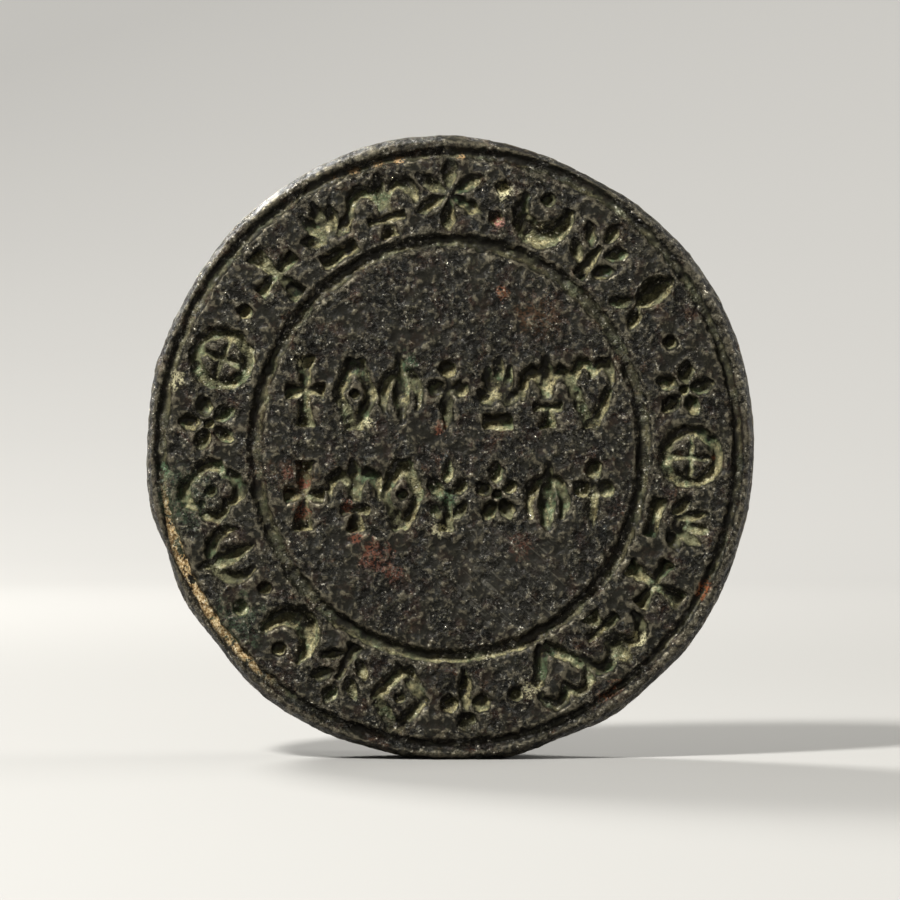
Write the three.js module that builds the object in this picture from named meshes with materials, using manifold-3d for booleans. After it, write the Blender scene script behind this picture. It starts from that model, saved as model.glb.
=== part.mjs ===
// A round medieval seal matrix of cast copper alloy, with a folding handle riveted to its back.
// Millimetres. The engraved face looks along -Y and its star lies towards +Z; the origin is the
// middle of the engraved face. At rest the handle hangs folded against the back.
import * as THREE from "three";
import { mergeVertices } from "three/addons/utils/BufferGeometryUtils.js";
import Module from "manifold-3d";

// Die plate: the disc is a little taller than it is wide, and its foot is worn flat by this much.
const plateHeight = 32;
const plateWidth = 31.2;
const plateThickness = 3.6;
const rimBevelWidth = 0.35;
const rimBevelDepth = 0.7;
const backEdgeRound = 0.6;
const backEdgeBulge = 0.3;
const plateSides = 80;
const footFlat = 0.16;

// Border line near the rim, and the ring between the legend band and the field.
const borderInset = 0.9;
const borderWidth = 0.7;
const borderDepth = 0.32;
const ringSpacing = 4.5;
const ringNarrowing = 0.28;
const ringWidth = 0.88;
const ringDepth = 0.4;

// Engraving: the width and depth of a full cut, how narrow its floor is, and the drilled pits.
const cutWidth = 0.95;
const cutDepth = 0.48;
const floorShare = 0.36;
const leafTipShare = 0.25;
const bowTipShare = 0.35;
const pitDiameter = 0.92;
const pitDepth = 0.42;
const pitFloorShare = 0.6;
const bandMargin = 0.05;
const starSize = 4.1;
const deviceWidth = 3.05;
const rowDeviceWidth = 2.25;
const stopShare = 0.5;
const rowHeight = 3.95;
const rowGap = 1.3;
const rowRise = 0.25;
const devicePitch = 2.45;
const handShift = 0.09;
const handTurn = 2.5;

// Hinge lugs, each let into a slot in the back of the plate.
const lugThickness = 1.7;
const lugRadius = 2;
const lugFootLength = 6.4;
const lugFootHeight = 0.3;
const slotDepth = 1.2;
const slotClearance = 0.08;

// Hinge pin, a rivet with a dome at each end.
const pinDiameter = 1.5;
const lugBoreClearance = 0.05;
const knuckleBoreClearance = 0.1;
const pinHeadDiameter = 2.7;
const pinHeadHeight = 0.65;
const pinHeadSkirt = 0.25;
const headClearance = 0.06;

// Folding handle: knuckle, waisted neck, collar and a trefoil pierced by a round eye.
const knuckleWidth = 3.8;
const knuckleRadius = 1.5;
const sideClearance = 0.12;
const backClearance = 0.3;
const neckLength = 6.4;
const neckWidth = 2.4;
const waistShare = 0.6;
const edgeBevel = 0.3;
const collarWidth = 3.9;
const collarThickness = 2.9;
const collarLength = 1.3;
const collarBevel = 0.45;
const headThickness = 2;
const lobeRadius = 1.95;
const lobeSpread = 2;
const heartRadius = 2.5;
const eyeDiameter = 2.8;

// How far a cutting body stands clear of the surface that it cuts.
const openSide = 0.4;

// Places that follow from the sizes above.
const axisHeight = knuckleRadius + backClearance;
const axisY = plateThickness + axisHeight;
const lugX = knuckleWidth / 2 + sideClearance + lugThickness / 2;
const lugsOuter = lugX + lugThickness / 2;
const collarZ = -(neckLength + collarLength / 2);
const headZ = -(neckLength + collarLength + lobeRadius + lobeSpread / 2 - edgeBevel);

const { cos, sin, PI } = Math;
const radians = THREE.MathUtils.degToRad;
const wasm = await Module();
wasm.setup();

// Solids for joining and cutting

function solid(geometry) {
  const bare = geometry.clone();
  bare.deleteAttribute("normal");
  bare.deleteAttribute("uv");
  const merged = mergeVertices(bare, 1e-5);
  const corners = merged.index.array;
  const kept = [];
  for (let i = 0; i < corners.length; i += 3) {
    const [a, b, c] = [corners[i], corners[i + 1], corners[i + 2]];
    if (a !== b && b !== c && c !== a) kept.push(a, b, c);
  }
  return new wasm.Manifold(
    new wasm.Mesh({
      numProp: 3,
      vertProperties: new Float32Array(merged.attributes.position.array),
      triVerts: new Uint32Array(kept),
    }),
  );
}

function geometryOf(body) {
  const { vertProperties, triVerts } = body.getMesh();
  const geometry = new THREE.BufferGeometry();
  geometry.setAttribute("position", new THREE.BufferAttribute(vertProperties, 3));
  geometry.setIndex(new THREE.BufferAttribute(triVerts, 1));
  return geometry;
}

const joined = (geometries) =>
  geometries.map(solid).reduce((whole, next) => whole.add(next));

const barAlongX = (radius, length, sides = 24) =>
  new THREE.CylinderGeometry(radius, radius, length, sides).rotateZ(PI / 2);

// A revolve about Y from [radius, y] points.
const revolved = (points, sides) =>
  new THREE.LatheGeometry(
    points.map(([radius, y]) => new THREE.Vector2(radius, y)),
    sides,
    PI / sides,
  );

// A shape extruded to a thickness centred on its plane, with bevels that stay inside its outline.
function slab(shape, thickness, bevel, curveSegments, bevelSegments = 1) {
  return new THREE.ExtrudeGeometry(shape, {
    depth: thickness - 2 * bevel,
    bevelEnabled: bevel > 0,
    bevelThickness: bevel,
    bevelSize: bevel,
    bevelOffset: -bevel,
    bevelSegments,
    curveSegments,
  }).translate(0, 0, bevel - thickness / 2);
}

// Graver cuts, on the face: u runs across a device and v up it, and depth runs into the metal
// along +Y. A cut follows stations [u, v, width] and is as deep as its width allows.

function cutAlong(stations, closed = false, width = cutWidth, depth = cutDepth) {
  const positions = [];
  const indices = [];
  const count = stations.length;
  stations.forEach(([u, v, mouth], i) => {
    const before = stations[closed ? (i + count - 1) % count : Math.max(i - 1, 0)];
    const after = stations[closed ? (i + 1) % count : Math.min(i + 1, count - 1)];
    const along = new THREE.Vector2(after[0] - before[0], after[1] - before[1]).normalize();
    const deep = depth * (mouth / width);
    const halfFloor = (mouth * floorShare) / 2;
    const halfTop = mouth / 2 + ((mouth / 2 - halfFloor) * openSide) / deep;
    for (const [half, y] of [
      [-halfTop, -openSide],
      [halfTop, -openSide],
      [halfFloor, deep],
      [-halfFloor, deep],
    ]) {
      positions.push(u - along.y * half, y, v + along.x * half);
    }
  });
  const spans = closed ? count : count - 1;
  for (let i = 0; i < spans; i++) {
    const a = 4 * i;
    const b = 4 * ((i + 1) % count);
    for (let k = 0; k < 4; k++) {
      const next = (k + 1) % 4;
      indices.push(a + k, b + next, a + next, a + k, b + k, b + next);
    }
  }
  if (!closed) {
    const end = 4 * (count - 1);
    indices.push(0, 1, 2, 0, 2, 3, end, end + 2, end + 1, end, end + 3, end + 2);
  }
  const geometry = new THREE.BufferGeometry();
  geometry.setAttribute("position", new THREE.Float32BufferAttribute(positions, 3));
  geometry.setIndex(indices);
  return geometry;
}

const wedge = (u0, v0, u1, v1, w0, w1) => [
  cutAlong([
    [u0, v0, w0],
    [u1, v1, w1],
  ]),
];

// A pointed cut, widest in its middle.
function leaf(u0, v0, u1, v1, width, steps = 3) {
  const stations = [];
  for (let i = 0; i <= steps; i++) {
    const t = i / steps;
    const swell = leafTipShare + (1 - leafTipShare) * sin(PI * t);
    stations.push([u0 + (u1 - u0) * t, v0 + (v1 - v0) * t, width * swell]);
  }
  return [cutAlong(stations)];
}

// A bent cut along an oval arc, widest in its middle.
function bow(cu, cv, radiusU, radiusV, fromDeg, toDeg, width, steps = 7) {
  const stations = [];
  for (let i = 0; i <= steps; i++) {
    const t = i / steps;
    const angle = radians(fromDeg + (toDeg - fromDeg) * t);
    const swell = bowTipShare + (1 - bowTipShare) * sin(PI * t);
    stations.push([cu + radiusU * cos(angle), cv + radiusV * sin(angle), width * swell]);
  }
  return [cutAlong(stations)];
}

// An oval line cut; fullWidth and depth set how deep a line of that width goes.
function hoop(cu, cv, radiusU, radiusV, width, steps = 12, fullWidth = cutWidth, depth = cutDepth) {
  const stations = [];
  for (let i = 0; i < steps; i++) {
    const angle = (2 * PI * (i + 0.5)) / steps;
    stations.push([cu + radiusU * cos(angle), cv + radiusV * sin(angle), width]);
  }
  return [cutAlong(stations, true, fullWidth, depth)];
}

function pit(cu, cv, diameter = pitDiameter) {
  const floor = (pitFloorShare * diameter) / 2;
  const top = diameter / 2 + ((diameter / 2 - floor) * openSide) / pitDepth;
  const height = pitDepth + openSide;
  const cone = new THREE.CylinderGeometry(floor, top, height, 8);
  return [cone.translate(cu, height / 2 - openSide, cv)];
}

// Cuts that fan out from a point: petals, rays and leaves.
const fan = (cu, cv, from, toU, toV, angles, width) =>
  angles.flatMap((deg) => {
    const [du, dv] = [cos(radians(deg)), sin(radians(deg))];
    return leaf(cu + from * du, cv + from * dv, cu + toU * du, cv + toV * dv, width);
  });

// Ornament devices: each takes the width w and height h of its place and gives a list of cuts.

const star = () =>
  fan(0, 0, 0.1, starSize / 2, starSize / 2, [30, 90, 150, 210, 270, 330], cutWidth);

const colon = (w, h) => [...pit(0, 0.22 * h), ...pit(0, -0.22 * h)];

const pellet = () => pit(0, 0);

const cross = (w, h) => [
  ...wedge(0, 0, 0.46 * w, 0, cutWidth * 0.6, cutWidth * 1.15),
  ...wedge(0, 0, -0.46 * w, 0, cutWidth * 0.6, cutWidth * 1.15),
  ...wedge(0, 0, 0, 0.46 * h, cutWidth * 0.6, cutWidth * 1.3),
  ...wedge(0, 0, 0, -0.46 * h, cutWidth * 0.6, cutWidth * 1.3),
];

const crescent = (w, h) => [
  ...bow(0, 0.1 * h, 0.4 * w, 0.42 * h, 165, 375, cutWidth * 1.65),
  ...pit(0, 0.2 * h),
];

const wheel = (w, h) => [
  ...hoop(0, 0, 0.43 * w, 0.38 * h, cutWidth * 0.9),
  ...wedge(-0.4 * w, 0, 0.4 * w, 0, cutWidth * 0.65, cutWidth * 0.65),
  ...wedge(0, -0.35 * h, 0, 0.35 * h, cutWidth * 0.65, cutWidth * 0.65),
];

const rosette = (w, h) => [
  ...fan(0, 0, 0.3, 0.5 * w, 0.44 * h, [18, 90, 162, 234, 306], cutWidth * 1.15),
  ...pit(0, 0, pitDiameter * 0.7),
];

const lozenge = (w, h) => [
  ...wedge(0.42 * w, -0.02 * h, 0, 0.44 * h, cutWidth * 0.75, cutWidth * 1.05),
  ...wedge(0, 0.44 * h, -0.42 * w, -0.02 * h, cutWidth * 1.05, cutWidth * 0.75),
  ...wedge(-0.42 * w, 0.02 * h, 0, -0.44 * h, cutWidth * 0.75, cutWidth * 1.05),
  ...wedge(0, -0.44 * h, 0.42 * w, 0.02 * h, cutWidth * 1.05, cutWidth * 0.75),
  ...pit(0, 0, pitDiameter * 0.8),
];

const lily = (w, h) => [
  ...leaf(0, -0.1 * h, 0, 0.5 * h, cutWidth * 1.25),
  ...bow(0.32 * w, 0, 0.25 * w, 0.28 * h, 200, -20, cutWidth, 6),
  ...bow(-0.32 * w, 0, 0.25 * w, 0.28 * h, -20, 200, cutWidth, 6),
  ...wedge(-0.34 * w, -0.18 * h, 0.34 * w, -0.18 * h, cutWidth * 0.7, cutWidth * 0.7),
  ...wedge(0, -0.22 * h, 0, -0.46 * h, cutWidth * 0.6, cutWidth * 1.3),
];

const sprig = (w, h) => [
  ...wedge(0, -0.46 * h, 0, 0.1 * h, cutWidth, cutWidth * 0.5),
  ...leaf(0, 0.14 * h, 0, 0.5 * h, cutWidth),
  ...leaf(0.1 * w, 0, 0.46 * w, 0.26 * h, cutWidth),
  ...leaf(-0.1 * w, 0, -0.46 * w, 0.26 * h, cutWidth),
  ...leaf(0.1 * w, -0.3 * h, 0.46 * w, -0.06 * h, cutWidth * 0.9),
  ...leaf(-0.1 * w, -0.3 * h, -0.46 * w, -0.06 * h, cutWidth * 0.9),
];

const fish = (w, h) => [
  ...leaf(0, -0.2 * h, 0, 0.5 * h, cutWidth * 1.7, 4),
  ...leaf(0.04 * w, -0.14 * h, 0.3 * w, -0.46 * h, cutWidth),
  ...leaf(-0.04 * w, -0.14 * h, -0.3 * w, -0.46 * h, cutWidth),
];

const quatrefoil = (w, h) => [
  ...bow(0.24 * w, 0, 0.2 * w, 0.19 * h, -120, 120, cutWidth * 0.95, 6),
  ...bow(-0.24 * w, 0, 0.2 * w, 0.19 * h, 60, 300, cutWidth * 0.95, 6),
  ...bow(0, 0.23 * h, 0.24 * w, 0.17 * h, -30, 210, cutWidth * 0.95, 6),
  ...bow(0, -0.23 * h, 0.24 * w, 0.17 * h, 150, 390, cutWidth * 0.95, 6),
  ...pit(0, 0, pitDiameter * 0.8),
];

const palmette = (w, h) => [
  ...fan(0, -0.22 * h, 0.3, 0.5 * w, 0.68 * h, [22, 56, 90, 124, 158], cutWidth),
  ...wedge(-0.34 * w, -0.4 * h, 0.34 * w, -0.4 * h, cutWidth, cutWidth),
];

const trefoil = (w, h) => [
  ...pit(0, 0.31 * h, pitDiameter * 1.25),
  ...pit(0.27 * w, 0.06 * h, pitDiameter * 1.25),
  ...pit(-0.27 * w, 0.06 * h, pitDiameter * 1.25),
  ...leaf(0, 0.2 * h, 0, -0.48 * h, cutWidth),
];

const heart = (w, h) => [
  ...bow(0.22 * w, 0.14 * h, 0.22 * w, 0.24 * h, 180, -30, cutWidth * 0.95, 6),
  ...bow(-0.22 * w, 0.14 * h, 0.22 * w, 0.24 * h, 0, 210, cutWidth * 0.95, 6),
  ...wedge(0.42 * w, 0.06 * h, 0, -0.46 * h, cutWidth * 0.75, cutWidth),
  ...wedge(-0.42 * w, 0.06 * h, 0, -0.46 * h, cutWidth * 0.75, cutWidth),
];

const flame = (w, h) => [
  ...leaf(0, -0.44 * h, 0, 0.48 * h, cutWidth * 1.3),
  ...bow(0, -0.1 * h, 0.42 * w, 0.34 * h, 215, 60, cutWidth * 0.95, 6),
  ...bow(0, -0.1 * h, 0.42 * w, 0.34 * h, -35, 120, cutWidth * 0.95, 6),
];

// The legend band, clockwise from the top. A stop takes less of the band than a device does.
const stops = [colon, pellet];
const legend = [
  star,
  colon,
  crescent,
  sprig,
  fish,
  pellet,
  rosette,
  wheel,
  palmette,
  cross,
  lily,
  heart,
  pellet,
  trefoil,
  lozenge,
  sprig,
  crescent,
  colon,
  flame,
  quatrefoil,
  rosette,
  wheel,
  pellet,
  cross,
  palmette,
  lily,
];

const fieldRows = [
  [cross, lozenge, flame, trefoil, palmette, lily, heart],
  [cross, lily, lozenge, sprig, rosette, flame, trefoil],
];

// A device set by hand and eye: each lies a little off its place and leans a little.
function placed(cuts, u, v, turn, index) {
  const lean = radians(handTurn) * sin(2.1 * index + 0.6);
  const [du, dv] = [handShift * sin(1.7 * index), handShift * cos(2.9 * index)];
  return cuts.map((cut) => cut.rotateY(turn + lean).translate(u + du, 0, v + dv));
}

// The half width and half height of the oval that lies this far inside the rim.
const ovalRadii = (inset, narrowing = 0) => [
  plateWidth / 2 - inset - narrowing,
  plateHeight / 2 - inset,
];

const borderRadii = ovalRadii(borderInset);
const ringRadii = ovalRadii(borderInset + ringSpacing, ringNarrowing);

function lineCuts() {
  const [borderU, borderV] = borderRadii;
  const [ringU, ringV] = ringRadii;
  return [
    ...hoop(0, 0, borderU, borderV, borderWidth, plateSides, borderWidth, borderDepth),
    ...hoop(0, 0, ringU, ringV, ringWidth, plateSides, ringWidth, ringDepth),
  ];
}

function legendCuts() {
  const share = (device) => (stops.includes(device) ? stopShare : 1);
  const shares = legend.reduce((sum, device) => sum + share(device), 0);
  const height = ringSpacing - (borderWidth + ringWidth) / 2 - 2 * bandMargin;
  const middleInset = borderInset + borderWidth / 2 + bandMargin + height / 2;
  const [middleU, middleV] = ovalRadii(middleInset, ringNarrowing / 2);
  let passed = -share(legend[0]) / 2;
  return legend.flatMap((device, i) => {
    const turn = ((passed + share(device) / 2) / shares) * 2 * PI;
    passed += share(device);
    const [u, v] = [middleU * sin(turn), middleV * cos(turn)];
    return placed(device(deviceWidth, height), u, v, turn, i);
  });
}

function fieldCuts() {
  return fieldRows.flatMap((row, line) => {
    const v = rowRise + ((rowHeight + rowGap) / 2) * (line === 0 ? 1 : -1);
    return row.flatMap((device, i) => {
      const u = (i - (row.length - 1) / 2) * devicePitch;
      return placed(device(rowDeviceWidth, rowHeight), u, v, 0, i + row.length * line);
    });
  });
}

function diePlate() {
  const r = plateHeight / 2;
  const t = plateThickness;
  const profile = [
    [0, 0],
    [r - rimBevelWidth, 0],
    [r, rimBevelDepth],
    [r, t - backEdgeRound],
    [r - backEdgeRound * backEdgeBulge, t - backEdgeRound * backEdgeBulge],
    [r - backEdgeRound, t],
    [0, t],
  ];
  const disc = solid(revolved(profile, plateSides).scale(plateWidth / plateHeight, 1, 1));
  const slots = [-lugX, lugX].map((x) =>
    new THREE.BoxGeometry(
      lugThickness + 2 * slotClearance,
      slotDepth + slotClearance + openSide,
      lugFootLength + 2 * slotClearance,
    ).translate(x, t + (openSide - slotDepth - slotClearance) / 2, 0),
  );
  const foot = new THREE.BoxGeometry(plateWidth, t + 2 * openSide, r).translate(
    0,
    t / 2,
    footFlat - 1.5 * r,
  );
  const cuts = [...lineCuts(), ...legendCuts(), ...fieldCuts(), ...slots, foot];
  return geometryOf(disc.subtract(joined(cuts)));
}

// A lug about the hinge axis: a round ear on a flared foot that runs down into its slot.
function hingeLug() {
  const foot = lugFootLength / 2;
  const shoulder = lugFootHeight - axisHeight;
  const floor = -axisHeight - slotDepth;
  const outline = new THREE.Shape();
  outline.moveTo(-foot, floor);
  outline.lineTo(foot, floor);
  outline.lineTo(foot, shoulder);
  outline.quadraticCurveTo(lugRadius, shoulder, lugRadius, 0);
  outline.absarc(0, 0, lugRadius, 0, PI, false);
  outline.quadraticCurveTo(-lugRadius, shoulder, -foot, shoulder);
  outline.closePath();
  const ear = slab(outline, lugThickness, edgeBevel / 2, 8).rotateY(PI / 2);
  const bore = barAlongX(pinDiameter / 2 + lugBoreClearance, lugThickness + 2 * openSide);
  return geometryOf(solid(ear).subtract(solid(bore)));
}

function hingePin() {
  const shank = pinDiameter / 2;
  const head = pinHeadDiameter / 2;
  const half = lugsOuter + headClearance;
  const dome = [0, 30, 60].map((deg) => [
    head * cos(radians(deg)),
    half + pinHeadHeight * (pinHeadSkirt + (1 - pinHeadSkirt) * sin(radians(deg))),
  ]);
  const upper = [[shank, half], [head, half], ...dome, [0, half + pinHeadHeight]];
  const lower = upper.map(([radius, y]) => [radius, -y]).reverse();
  return revolved([...lower, ...upper], 24).rotateZ(PI / 2);
}

// The neck narrows from the knuckle to a waist and thins towards the head.
function handleNeck() {
  const waist = -neckLength * waistShare;
  const outline = new THREE.Shape();
  outline.moveTo(knuckleWidth / 2, 0);
  outline.lineTo(-knuckleWidth / 2, 0);
  outline.quadraticCurveTo(-knuckleWidth / 2, waist * waistShare, -neckWidth / 2, waist);
  outline.lineTo(-neckWidth / 2, headZ);
  outline.lineTo(neckWidth / 2, headZ);
  outline.lineTo(neckWidth / 2, waist);
  outline.quadraticCurveTo(knuckleWidth / 2, waist * waistShare, knuckleWidth / 2, 0);
  const neck = slab(outline, 2 * knuckleRadius, edgeBevel, 5).rotateX(PI / 2);
  const places = neck.attributes.position;
  const thinned = headThickness / (2 * knuckleRadius);
  for (let i = 0; i < places.count; i++) {
    const t = THREE.MathUtils.clamp(places.getZ(i) / headZ, 0, 1);
    places.setY(i, places.getY(i) * THREE.MathUtils.lerp(1, thinned, t));
  }
  return neck;
}

function handleCollar() {
  const [w, t, r] = [collarWidth / 2, collarThickness / 2, collarLength / 2];
  const outline = new THREE.Shape();
  outline.moveTo(w - r, -t);
  outline.absarc(w - r, -t + r, r, -PI / 2, 0, false);
  outline.absarc(w - r, t - r, r, 0, PI / 2, false);
  outline.absarc(-w + r, t - r, r, PI / 2, PI, false);
  outline.absarc(-w + r, -t + r, r, PI, 1.5 * PI, false);
  return slab(outline, collarLength, collarBevel, 3, 2).translate(0, 0, collarZ);
}

// A disc of the handle's head, with chamfered edges, or the body that cuts a chamfered hole.
const headDisc = (radius) => {
  const t = headThickness / 2;
  return revolved(
    [
      [0, -t],
      [radius - edgeBevel, -t],
      [radius, edgeBevel - t],
      [radius, t - edgeBevel],
      [radius - edgeBevel, t],
      [0, t],
    ],
    20,
  ).translate(0, 0, headZ);
};

const headEye = () => {
  const t = headThickness / 2;
  const radius = eyeDiameter / 2;
  return revolved(
    [
      [0, -t - openSide],
      [radius + edgeBevel + openSide, -t - openSide],
      [radius, edgeBevel - t],
      [radius, t - edgeBevel],
      [radius + edgeBevel + openSide, t + openSide],
      [0, t + openSide],
    ],
    20,
  ).translate(0, 0, headZ);
};

function foldingHandle() {
  const lobes = [30, 150, 270].map((deg) =>
    headDisc(lobeRadius).translate(
      lobeSpread * cos(radians(deg)),
      0,
      lobeSpread * sin(radians(deg)),
    ),
  );
  const body = joined([
    barAlongX(knuckleRadius, knuckleWidth),
    handleNeck(),
    handleCollar(),
    headDisc(heartRadius),
    ...lobes,
  ]);
  const bore = barAlongX(pinDiameter / 2 + knuckleBoreClearance, knuckleWidth + 2 * openSide);
  return geometryOf(body.subtract(joined([bore, headEye()])));
}

// Colours of the patinated metal
const castBronze = new THREE.MeshStandardMaterial({
  color: 0x3c3931,
  roughness: 0.55,
  metalness: 0.6,
});
const wornBronze = new THREE.MeshStandardMaterial({
  color: 0x4b4436,
  roughness: 0.48,
  metalness: 0.7,
});
const pinBronze = new THREE.MeshStandardMaterial({
  color: 0x5a5140,
  roughness: 0.45,
  metalness: 0.75,
});

function piece(name, geometry, material, x = 0) {
  const mesh = new THREE.Mesh(geometry, material);
  mesh.name = name;
  mesh.position.x = x;
  return mesh;
}

const hinge = new THREE.Group();
hinge.position.y = axisY;
hinge.add(
  piece("hinge_lug_left", hingeLug(), castBronze, -lugX),
  piece("hinge_lug_right", hingeLug(), castBronze, lugX),
  piece("hinge_pin", hingePin(), pinBronze),
  piece("folding_handle", foldingHandle(), wornBronze),
);

const sealMatrix = new THREE.Group();
sealMatrix.add(piece("die_plate", diePlate(), castBronze), hinge);

export default sealMatrix;
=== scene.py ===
# %% [markdown]
# # A medieval seal matrix
#
# A seal matrix is a die for pressing a mark into warm wax, so everything on its face is cut
# into the metal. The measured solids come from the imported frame: a plate, two hinge lugs, a
# rivet and a folding handle. This lesson gives them what eight hundred years gave the real
# one: softened edges, a pitted and grainy skin, and the coloured deposits of long burial.

# %% The frame and the units
import math
from types import SimpleNamespace

import bpy
import numpy as np
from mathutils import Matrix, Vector


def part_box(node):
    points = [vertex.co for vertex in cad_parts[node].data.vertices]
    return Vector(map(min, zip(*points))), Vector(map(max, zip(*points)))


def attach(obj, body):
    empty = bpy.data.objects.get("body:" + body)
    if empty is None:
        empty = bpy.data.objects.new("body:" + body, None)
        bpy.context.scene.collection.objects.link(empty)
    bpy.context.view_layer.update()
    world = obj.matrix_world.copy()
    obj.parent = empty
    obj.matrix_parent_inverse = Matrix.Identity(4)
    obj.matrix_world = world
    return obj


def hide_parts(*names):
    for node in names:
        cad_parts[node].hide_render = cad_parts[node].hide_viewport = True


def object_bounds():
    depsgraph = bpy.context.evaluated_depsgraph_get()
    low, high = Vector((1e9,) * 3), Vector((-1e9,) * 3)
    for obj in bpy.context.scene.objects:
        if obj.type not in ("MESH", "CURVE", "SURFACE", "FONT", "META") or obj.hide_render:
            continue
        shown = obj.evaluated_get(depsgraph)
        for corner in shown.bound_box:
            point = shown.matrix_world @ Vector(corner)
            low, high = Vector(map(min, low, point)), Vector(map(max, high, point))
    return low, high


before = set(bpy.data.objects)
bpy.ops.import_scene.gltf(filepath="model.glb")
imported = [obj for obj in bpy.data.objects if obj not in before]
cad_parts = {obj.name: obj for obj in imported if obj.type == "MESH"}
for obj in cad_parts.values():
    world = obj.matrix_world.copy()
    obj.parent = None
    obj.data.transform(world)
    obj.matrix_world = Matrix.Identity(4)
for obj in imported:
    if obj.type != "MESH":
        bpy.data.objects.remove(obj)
cad_low, cad_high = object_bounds()
MM = 0.001

plate_low, plate_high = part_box("die_plate")
pin_low, pin_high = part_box("hinge_pin")
hinge = (pin_low + pin_high) / 2
back = plate_high.y
print("plate", [round(size / MM, 2) for size in plate_high - plate_low], "mm")

# %% [markdown]
# ## Places taken from the photograph
#
# The photograph looks straight at the face. Knowing how many pixels wide the disc is, and where
# its middle lies, turns any pixel into a place on the face. The stains are put where the
# photograph has them by this one rule.

# %% From a pixel to a place on the face
IMAGE = 900
DISC_WIDTH_PX = 612
DISC_CENTRE_PX = (449.5, 449.0)
pixel = (plate_high.x - plate_low.x) / DISC_WIDTH_PX


def on_face(px, py):
    """The place on the face, in metres, that the photograph shows at this pixel."""
    return ((px - DISC_CENTRE_PX[0]) * pixel, 0.0, (DISC_CENTRE_PX[1] - py) * pixel)


print("one pixel is", round(pixel / MM, 4), "mm")

# %% [markdown]
# ## Working the way a hand works
#
# Operators act on what is selected, and a freshly loaded frame is selected all over. So each
# step starts from nothing selected and one active object. A modifier is added, set and applied
# in one call, which leaves plain mesh behind for the next step.

# %% Selecting and applying
def pick(piece):
    """Selects one object alone and makes it active."""
    bpy.ops.object.select_all(action="DESELECT")
    piece.select_set(True)
    bpy.context.view_layer.objects.active = piece


def finish_with(piece, kind, **settings):
    """Adds a modifier with these settings and applies it at once."""
    pick(piece)
    modifier = piece.modifiers.new(kind.title(), kind)
    for name, value in settings.items():
        setattr(modifier, name, value)
    bpy.ops.object.modifier_apply(modifier=modifier.name)


def facets(piece):
    """How many triangles a piece has."""
    piece.data.calc_loop_triangles()
    return len(piece.data.loop_triangles)


def points_of(piece):
    """The piece's points as an array with a row for each."""
    flat = np.empty(len(piece.data.vertices) * 3)
    piece.data.vertices.foreach_get("co", flat)
    return flat.reshape(-1, 3)


def group_of(piece, name, weights):
    """A vertex group that holds each point as much as its weight says."""
    group = piece.vertex_groups.new(name=name)
    steps = 10
    levels = np.round(np.clip(weights, 0, 1) * steps).astype(int)
    for level in range(1, steps + 1):
        members = np.nonzero(levels == level)[0]
        if len(members):
            group.add(members.tolist(), level / steps, "REPLACE")
    return group.name


# %% [markdown]
# ## A casting from each measured solid
#
# The solids have exact places but razor edges and flat facets, which cast bronze never has.
# Each piece starts as a copy of its solid with the loose triangles joined. A voxel remesh turns
# the copy into an even skin fine enough to bend, a few rounds of smoothing wear its edges
# round, and displacement gives the uneven surface of a casting that lay in the soil.

# %% Copying, remeshing and wearing
def casting(node, name, voxel, wear_rounds):
    """A joined and remeshed copy of a CAD node, with its edges worn round."""
    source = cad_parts[node]
    piece = bpy.data.objects.new(name, source.data.copy())
    bpy.context.scene.collection.objects.link(piece)
    pick(piece)
    bpy.ops.object.mode_set(mode="EDIT")
    bpy.ops.mesh.select_all(action="SELECT")
    bpy.ops.mesh.remove_doubles(threshold=0.001 * MM)
    bpy.ops.object.mode_set(mode="OBJECT")
    finish_with(piece, "REMESH", mode="VOXEL", voxel_size=voxel, use_smooth_shade=True)
    finish_with(piece, "SMOOTH", factor=0.5, iterations=wear_rounds)
    print(name, "casting", facets(piece), "triangles")
    return piece


def unevenness(name, size, depth=2):
    """A cloud texture whose lumps are about this size."""
    texture = bpy.data.textures.new(name, "CLOUDS")
    texture.noise_scale = size
    texture.noise_depth = depth
    return texture


def weather(piece, texture, strength, group=""):
    """Pushes the skin in and out by a texture, along its normals."""
    finish_with(
        piece,
        "DISPLACE",
        texture=texture,
        texture_coords="LOCAL",
        strength=strength,
        mid_level=0.5,
        vertex_group=group,
    )


swells = unevenness("slow swells", 2.6 * MM)
dents = unevenness("small dents", 0.8 * MM)
pitting = unevenness("fine pitting", 0.3 * MM, 1)

# %% [markdown]
# ## The worn edges and the hollows, written on the mesh
#
# Rubbing polishes what stands out, and what lies deep is darkened, partly by soil that stays there and
# partly as painted shade. Both follow the shape, so they are measured on the mesh itself: the skin is
# smoothed away from itself, and how far a point then stands above or below that smooth skin says how
# exposed it is. The result is stored as an attribute, which the materials read.

# %% Measuring exposure
def write_exposure(piece, name, rounds, full):
    """Stores 0.5 on a flat stretch, towards 1 on a worn edge and towards 0 in a hollow."""
    mesh = piece.data
    count = len(mesh.vertices)
    points = points_of(piece)
    normals = np.empty(count * 3)
    mesh.vertices.foreach_get("normal", normals)
    normals = normals.reshape(-1, 3)
    edges = np.empty(len(mesh.edges) * 2, dtype=np.int64)
    mesh.edges.foreach_get("vertices", edges)
    one, other = edges.reshape(-1, 2).T
    neighbours = np.bincount(one, minlength=count) + np.bincount(other, minlength=count)
    smooth = points.copy()
    for _ in range(rounds):
        total = np.empty_like(smooth)
        for k in range(3):
            total[:, k] = np.bincount(one, smooth[other, k], count)
            total[:, k] += np.bincount(other, smooth[one, k], count)
        smooth = 0.3 * smooth + 0.7 * total / neighbours[:, None]
    height = np.einsum("ij,ij->i", points - smooth, normals)
    exposure = np.clip(0.5 + 0.5 * height / full, 0, 1)
    layer = mesh.attributes.new(name, "FLOAT", "POINT")
    layer.data.foreach_set("value", exposure.astype(np.float32))


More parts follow.
